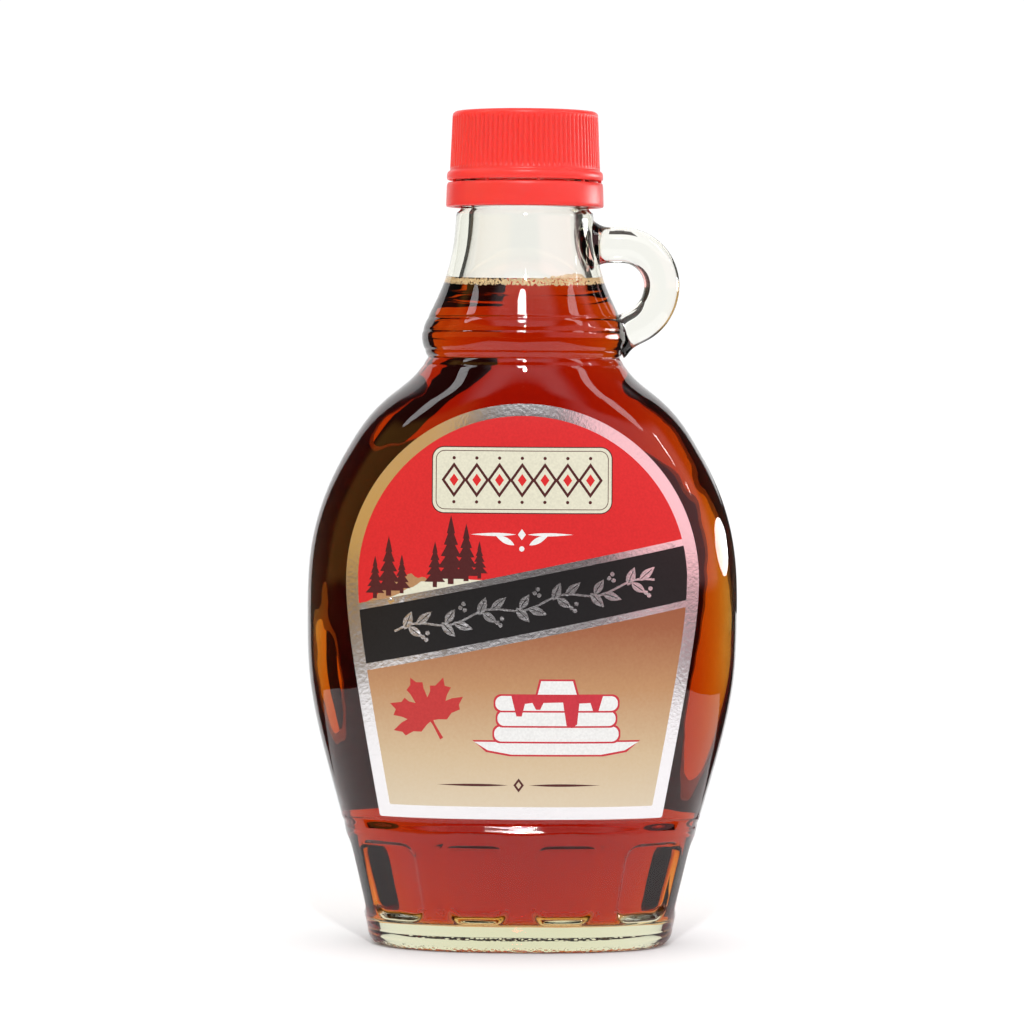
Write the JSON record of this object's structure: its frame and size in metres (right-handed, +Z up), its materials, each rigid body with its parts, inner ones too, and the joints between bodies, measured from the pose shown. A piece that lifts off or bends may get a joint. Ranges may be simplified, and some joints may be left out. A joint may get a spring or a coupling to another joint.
{
  "type": "bottle of maple syrup",
  "caption": "Flat oval clear-glass bottle of amber syrup with a fluted foot, a small finger loop at the neck, a ribbed red screw cap with its tamper ring, and arched labels.",
  "frame": {"origin": "on the ground under the middle of the foot, which is also the middle of the bounding box's bottom", "axes": "+Z up along the neck; +X across the wide side towards the finger loop; -Y is the front, where the printed label is"},
  "size_m": [0.0836, 0.049, 0.1617],
  "materials": {
    "glass": "polished",
    "syrup": "gloss",
    "cap_plastic": "satin",
    "front_label_print": "satin",
    "back_label_paper": "matte"
  },
  "bodies": {
    "root": {"glass_bottle": "glass", "syrup": "syrup", "cap": "cap_plastic", "tamper_ring": "cap_plastic", "front_label": "front_label_print", "back_label": "back_label_paper"}
  },
  "joints": []
}
